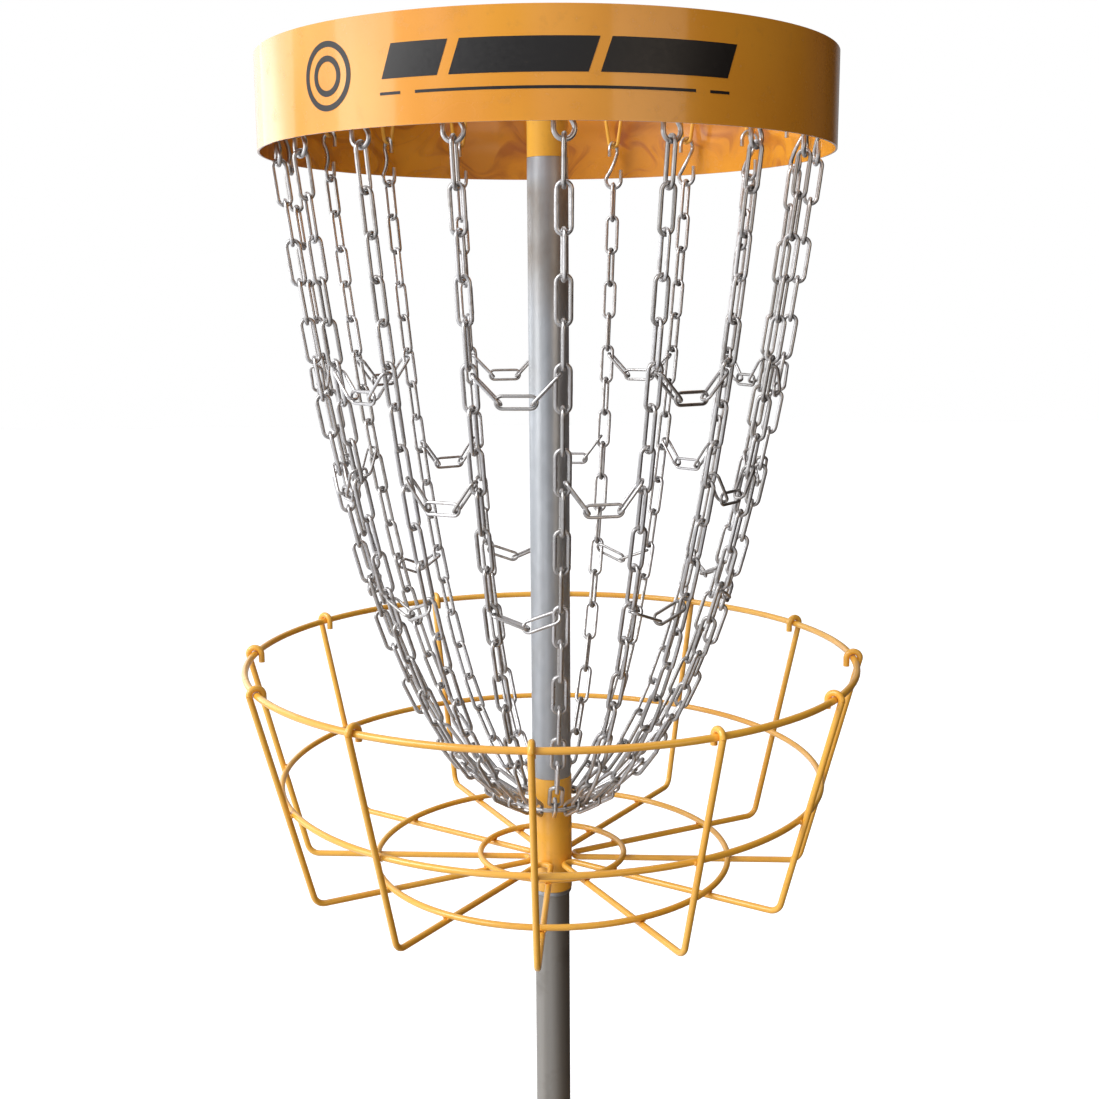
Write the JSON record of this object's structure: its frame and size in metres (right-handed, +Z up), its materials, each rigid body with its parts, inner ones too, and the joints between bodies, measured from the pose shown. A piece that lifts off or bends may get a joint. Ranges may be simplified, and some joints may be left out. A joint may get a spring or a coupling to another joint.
{
  "type": "disc golf basket",
  "caption": "Free-standing disc golf basket: banded head with hanging chains and cross chains over a round wire basket on a tube mast with a ring base.",
  "frame": {"origin": "on the ground under the mast's axis, at the middle of the base", "axes": "+Z up along the mast; -Y is the front; +X is to the right seen from the front"},
  "size_m": [0.6694, 0.6694, 1.436],
  "materials": {
    "yellow_coat": "glossy powder coat",
    "band_coat": "glossy powder coat",
    "galvanised_tube": "mottled zinc, satin",
    "grey_tube": "satin grey",
    "zinc_chain": "bright zinc plate",
    "zinc_hardware": "bright zinc plate",
    "foot_rubber": "matt"
  },
  "bodies": {
    "base": {"base_ring": "yellow_coat", "base_spokes": "yellow_coat", "base_socket": "yellow_coat", "base_feet": "foot_rubber"},
    "lower_mast": {"lower_tube": "grey_tube", "stop_ring": "galvanised_tube"},
    "basket": {"hub_sleeve": "yellow_coat", "basket_rim": "yellow_coat", "mid_ring": "yellow_coat", "floor_rings": "yellow_coat", "arm_pair_1": "yellow_coat", "arm_pair_2": "yellow_coat", "arm_pair_3": "yellow_coat", "arm_pair_4": "yellow_coat", "arm_pair_5": "yellow_coat", "arm_pair_6": "yellow_coat"},
    "upper_mast": {"upper_tube": "galvanised_tube"},
    "head": {"head_tube": "yellow_coat", "head_spokes": "yellow_coat", "hanger_hoop": "yellow_coat", "band": "band_coat", "v_hangers": "yellow_coat", "s_hooks": "zinc_hardware"},
    "collector": {"collector_ring": "zinc_hardware"},
    "strand_upper_01": {"chain_upper_01": "zinc_chain"},
    "strand_lower_01": {"chain_lower_01": "zinc_chain"},
    "strand_upper_02": {"chain_upper_02": "zinc_chain"},
    "strand_lower_02": {"chain_lower_02": "zinc_chain"},
    "strand_upper_03": {"chain_upper_03": "zinc_chain"},
    "strand_lower_03": {"chain_lower_03": "zinc_chain"},
    "strand_upper_04": {"chain_upper_04": "zinc_chain"},
    "strand_lower_04": {"chain_lower_04": "zinc_chain"},
    "strand_upper_05": {"chain_upper_05": "zinc_chain"},
    "strand_lower_05": {"chain_lower_05": "zinc_chain"},
    "strand_upper_06": {"chain_upper_06": "zinc_chain"},
    "strand_lower_06": {"chain_lower_06": "zinc_chain"},
    "strand_upper_07": {"chain_upper_07": "zinc_chain"},
    "strand_lower_07": {"chain_lower_07": "zinc_chain"},
    "strand_upper_08": {"chain_upper_08": "zinc_chain"},
    "strand_lower_08": {"chain_lower_08": "zinc_chain"},
    "strand_upper_09": {"chain_upper_09": "zinc_chain"},
    "strand_lower_09": {"chain_lower_09": "zinc_chain"},
    "strand_upper_10": {"chain_upper_10": "zinc_chain"},
    "strand_lower_10": {"chain_lower_10": "zinc_chain"},
    "strand_upper_11": {"chain_upper_11": "zinc_chain"},
    "strand_lower_11": {"chain_lower_11": "zinc_chain"},
    "strand_upper_12": {"chain_upper_12": "zinc_chain"},
    "strand_lower_12": {"chain_lower_12": "zinc_chain"},
    "strand_upper_13": {"chain_upper_13": "zinc_chain"},
    "strand_lower_13": {"chain_lower_13": "zinc_chain"},
    "strand_upper_14": {"chain_upper_14": "zinc_chain"},
    "strand_lower_14": {"chain_lower_14": "zinc_chain"},
    "strand_upper_15": {"chain_upper_15": "zinc_chain"},
    "strand_lower_15": {"chain_lower_15": "zinc_chain"},
    "strand_upper_16": {"chain_upper_16": "zinc_chain"},
    "strand_lower_16": {"chain_lower_16": "zinc_chain"},
    "strand_upper_17": {"chain_upper_17": "zinc_chain"},
    "strand_lower_17": {"chain_lower_17": "zinc_chain"},
    "strand_upper_18": {"chain_upper_18": "zinc_chain"},
    "strand_lower_18": {"chain_lower_18": "zinc_chain"}
  },
  "joints": [
    {"name": "mast_lift", "type": "slide", "parent": "base", "child": "lower_mast", "axis": [0, 0, 1], "range_m": [0, 0.09]},
    {"name": "basket_turn", "type": "hinge", "parent": "lower_mast", "child": "basket", "pos_m": [0, 0, 0.5565], "axis": [0, 0, 1], "continuous": true},
    {"name": "upper_mast_lift", "type": "slide", "parent": "lower_mast", "child": "upper_mast", "axis": [0, 0, 1], "range_m": [0, 0.09]},
    {"name": "head_turn", "type": "hinge", "parent": "upper_mast", "child": "head", "pos_m": [0, 0, 1.343], "axis": [0, 0, 1], "continuous": true},
    {"name": "collector_drop", "type": "slide", "parent": "head", "child": "collector", "axis": [0, 0, -1], "range_m": [0, 0.00553]},
    {"name": "chain_swing_01", "type": "hinge", "parent": "head", "child": "strand_upper_01", "pos_m": [0.01036, -0.2698, 1.33465], "axis": [0.9993, 0.0384, 0], "range_deg": [0, 1.4]},
    {"name": "chain_bend_01", "type": "hinge", "parent": "strand_upper_01", "child": "strand_lower_01", "pos_m": [0.00654, -0.17028, 0.84123], "axis": [-0.9993, -0.0384, 0], "range_deg": [0, 5.08]},
    {"name": "chain_swing_02", "type": "hinge", "parent": "head", "child": "strand_upper_02", "pos_m": [0.10202, -0.24999, 1.33465], "axis": [0.9259, 0.3778, 0], "range_deg": [0, 1.4]},
    {"name": "chain_bend_02", "type": "hinge", "parent": "strand_upper_02", "child": "strand_lower_02", "pos_m": [0.06439, -0.15778, 0.84123], "axis": [-0.9259, -0.3778, 0], "range_deg": [0, 5.08]},
    {"name": "chain_swing_03", "type": "hinge", "parent": "head", "child": "strand_upper_03", "pos_m": [0.18136, -0.20002, 1.33465], "axis": [0.7408, 0.6717, 0], "range_deg": [0, 1.4]},
    {"name": "chain_bend_03", "type": "hinge", "parent": "strand_upper_03", "child": "strand_lower_03", "pos_m": [0.11447, -0.12624, 0.84123], "axis": [-0.7408, -0.6717, 0], "range_deg": [0, 5.08]},
    {"name": "chain_swing_04", "type": "hinge", "parent": "head", "child": "strand_upper_04", "pos_m": [0.23884, -0.12592, 1.33465], "axis": [0.4664, 0.8846, 0], "range_deg": [0, 1.4]},
    {"name": "chain_bend_04", "type": "hinge", "parent": "strand_upper_04", "child": "strand_lower_04", "pos_m": [0.15074, -0.07948, 0.84123], "axis": [-0.4664, -0.8846, 0], "range_deg": [0, 5.08]},
    {"name": "chain_swing_05", "type": "hinge", "parent": "head", "child": "strand_upper_05", "pos_m": [0.2675, -0.03664, 1.33465], "axis": [0.1357, 0.9907, 0], "range_deg": [0, 1.4]},
    {"name": "chain_bend_05", "type": "hinge", "parent": "strand_upper_05", "child": "strand_lower_05", "pos_m": [0.16883, -0.02313, 0.84123], "axis": [-0.1357, -0.9907, 0], "range_deg": [0, 5.08]},
    {"name": "chain_swing_06", "type": "hinge", "parent": "head", "child": "strand_upper_06", "pos_m": [0.2639, 0.05706, 1.33465], "axis": [-0.2113, 0.9774, 0], "range_deg": [0, 1.4]},
    {"name": "chain_bend_06", "type": "hinge", "parent": "strand_upper_06", "child": "strand_lower_06", "pos_m": [0.16656, 0.03601, 0.84123], "axis": [0.2113, -0.9774, 0], "range_deg": [0, 5.08]},
    {"name": "chain_swing_07", "type": "hinge", "parent": "head", "child": "strand_upper_07", "pos_m": [0.22847, 0.14388, 1.33465], "axis": [-0.5329, 0.8462, 0], "range_deg": [0, 1.4]},
    {"name": "chain_bend_07", "type": "hinge", "parent": "strand_upper_07", "child": "strand_lower_07", "pos_m": [0.1442, 0.09081, 0.84123], "axis": [0.5329, -0.8462, 0], "range_deg": [0, 5.08]},
    {"name": "chain_swing_08", "type": "hinge", "parent": "head", "child": "strand_upper_08", "pos_m": [0.16548, 0.21334, 1.33465], "axis": [-0.7902, 0.6129, 0], "range_deg": [0, 1.4]},
    {"name": "chain_bend_08", "type": "hinge", "parent": "strand_upper_08", "child": "strand_lower_08", "pos_m": [0.10445, 0.13465, 0.84123], "axis": [0.7902, -0.6129, 0], "range_deg": [0, 5.08]},
    {"name": "chain_swing_09", "type": "hinge", "parent": "head", "child": "strand_upper_09", "pos_m": [0.08254, 0.25707, 1.33465], "axis": [-0.9521, 0.3057, 0], "range_deg": [0, 1.4]},
    {"name": "chain_bend_09", "type": "hinge", "parent": "strand_upper_09", "child": "strand_lower_09", "pos_m": [0.05209, 0.16225, 0.84123], "axis": [0.9521, -0.3057, 0], "range_deg": [0, 5.08]},
    {"name": "chain_swing_10", "type": "hinge", "parent": "head", "child": "strand_upper_10", "pos_m": [-0.01036, 0.2698, 1.33465], "axis": [-0.9993, -0.0384, 0], "range_deg": [0, 1.4]},
    {"name": "chain_bend_10", "type": "hinge", "parent": "strand_upper_10", "child": "strand_lower_10", "pos_m": [-0.00654, 0.17028, 0.84123], "axis": [0.9993, 0.0384, 0], "range_deg": [0, 5.08]},
    {"name": "chain_swing_11", "type": "hinge", "parent": "head", "child": "strand_upper_11", "pos_m": [-0.10202, 0.24999, 1.33465], "axis": [-0.9259, -0.3778, 0], "range_deg": [0, 1.4]},
    {"name": "chain_bend_11", "type": "hinge", "parent": "strand_upper_11", "child": "strand_lower_11", "pos_m": [-0.06439, 0.15778, 0.84123], "axis": [0.9259, 0.3778, 0], "range_deg": [0, 5.08]},
    {"name": "chain_swing_12", "type": "hinge", "parent": "head", "child": "strand_upper_12", "pos_m": [-0.18136, 0.20002, 1.33465], "axis": [-0.7408, -0.6717, 0], "range_deg": [0, 1.4]},
    {"name": "chain_bend_12", "type": "hinge", "parent": "strand_upper_12", "child": "strand_lower_12", "pos_m": [-0.11447, 0.12624, 0.84123], "axis": [0.7408, 0.6717, 0], "range_deg": [0, 5.08]},
    {"name": "chain_swing_13", "type": "hinge", "parent": "head", "child": "strand_upper_13", "pos_m": [-0.23884, 0.12592, 1.33465], "axis": [-0.4664, -0.8846, 0], "range_deg": [0, 1.4]},
    {"name": "chain_bend_13", "type": "hinge", "parent": "strand_upper_13", "child": "strand_lower_13", "pos_m": [-0.15074, 0.07948, 0.84123], "axis": [0.4664, 0.8846, 0], "range_deg": [0, 5.08]},
    {"name": "chain_swing_14", "type": "hinge", "parent": "head", "child": "strand_upper_14", "pos_m": [-0.2675, 0.03664, 1.33465], "axis": [-0.1357, -0.9907, 0], "range_deg": [0, 1.4]},
    {"name": "chain_bend_14", "type": "hinge", "parent": "strand_upper_14", "child": "strand_lower_14", "pos_m": [-0.16883, 0.02313, 0.84123], "axis": [0.1357, 0.9907, 0], "range_deg": [0, 5.08]},
    {"name": "chain_swing_15", "type": "hinge", "parent": "head", "child": "strand_upper_15", "pos_m": [-0.2639, -0.05706, 1.33465], "axis": [0.2113, -0.9774, 0], "range_deg": [0, 1.4]},
    {"name": "chain_bend_15", "type": "hinge", "parent": "strand_upper_15", "child": "strand_lower_15", "pos_m": [-0.16656, -0.03601, 0.84123], "axis": [-0.2113, 0.9774, 0], "range_deg": [0, 5.08]},
    {"name": "chain_swing_16", "type": "hinge", "parent": "head", "child": "strand_upper_16", "pos_m": [-0.22847, -0.14388, 1.33465], "axis": [0.5329, -0.8462, 0], "range_deg": [0, 1.4]},
    {"name": "chain_bend_16", "type": "hinge", "parent": "strand_upper_16", "child": "strand_lower_16", "pos_m": [-0.1442, -0.09081, 0.84123], "axis": [-0.5329, 0.8462, 0], "range_deg": [0, 5.08]},
    {"name": "chain_swing_17", "type": "hinge", "parent": "head", "child": "strand_upper_17", "pos_m": [-0.16548, -0.21334, 1.33465], "axis": [0.7902, -0.6129, 0], "range_deg": [0, 1.4]},
    {"name": "chain_bend_17", "type": "hinge", "parent": "strand_upper_17", "child": "strand_lower_17", "pos_m": [-0.10445, -0.13465, 0.84123], "axis": [-0.7902, 0.6129, 0], "range_deg": [0, 5.08]},
    {"name": "chain_swing_18", "type": "hinge", "parent": "head", "child": "strand_upper_18", "pos_m": [-0.08254, -0.25707, 1.33465], "axis": [0.9521, -0.3057, 0], "range_deg": [0, 1.4]},
    {"name": "chain_bend_18", "type": "hinge", "parent": "strand_upper_18", "child": "strand_lower_18", "pos_m": [-0.05209, -0.16225, 0.84123], "axis": [-0.9521, 0.3057, 0], "range_deg": [0, 5.08]}
  ],
  "couplings": [
    {"joint": "collector_drop", "follows": "chain_swing_01", "m_per_rad": 0.22566},
    {"joint": "chain_bend_01", "follows": "chain_swing_01", "ratio": 3.62},
    {"joint": "chain_swing_02", "follows": "chain_swing_01", "ratio": 1},
    {"joint": "chain_bend_02", "follows": "chain_swing_01", "ratio": 3.62},
    {"joint": "chain_swing_03", "follows": "chain_swing_01", "ratio": 1},
    {"joint": "chain_bend_03", "follows": "chain_swing_01", "ratio": 3.62},
    {"joint": "chain_swing_04", "follows": "chain_swing_01", "ratio": 1},
    {"joint": "chain_bend_04", "follows": "chain_swing_01", "ratio": 3.62},
    {"joint": "chain_swing_05", "follows": "chain_swing_01", "ratio": 1},
    {"joint": "chain_bend_05", "follows": "chain_swing_01", "ratio": 3.62},
    {"joint": "chain_swing_06", "follows": "chain_swing_01", "ratio": 1},
    {"joint": "chain_bend_06", "follows": "chain_swing_01", "ratio": 3.62},
    {"joint": "chain_swing_07", "follows": "chain_swing_01", "ratio": 1},
    {"joint": "chain_bend_07", "follows": "chain_swing_01", "ratio": 3.62},
    {"joint": "chain_swing_08", "follows": "chain_swing_01", "ratio": 1},
    {"joint": "chain_bend_08", "follows": "chain_swing_01", "ratio": 3.62},
    {"joint": "chain_swing_09", "follows": "chain_swing_01", "ratio": 1},
    {"joint": "chain_bend_09", "follows": "chain_swing_01", "ratio": 3.62},
    {"joint": "chain_swing_10", "follows": "chain_swing_01", "ratio": 1},
    {"joint": "chain_bend_10", "follows": "chain_swing_01", "ratio": 3.62},
    {"joint": "chain_swing_11", "follows": "chain_swing_01", "ratio": 1},
    {"joint": "chain_bend_11", "follows": "chain_swing_01", "ratio": 3.62},
    {"joint": "chain_swing_12", "follows": "chain_swing_01", "ratio": 1},
    {"joint": "chain_bend_12", "follows": "chain_swing_01", "ratio": 3.62},
    {"joint": "chain_swing_13", "follows": "chain_swing_01", "ratio": 1},
    {"joint": "chain_bend_13", "follows": "chain_swing_01", "ratio": 3.62},
    {"joint": "chain_swing_14", "follows": "chain_swing_01", "ratio": 1},
    {"joint": "chain_bend_14", "follows": "chain_swing_01", "ratio": 3.62},
    {"joint": "chain_swing_15", "follows": "chain_swing_01", "ratio": 1},
    {"joint": "chain_bend_15", "follows": "chain_swing_01", "ratio": 3.62},
    {"joint": "chain_swing_16", "follows": "chain_swing_01", "ratio": 1},
    {"joint": "chain_bend_16", "follows": "chain_swing_01", "ratio": 3.62},
    {"joint": "chain_swing_17", "follows": "chain_swing_01", "ratio": 1},
    {"joint": "chain_bend_17", "follows": "chain_swing_01", "ratio": 3.62},
    {"joint": "chain_swing_18", "follows": "chain_swing_01", "ratio": 1},
    {"joint": "chain_bend_18", "follows": "chain_swing_01", "ratio": 3.62}
  ]
}
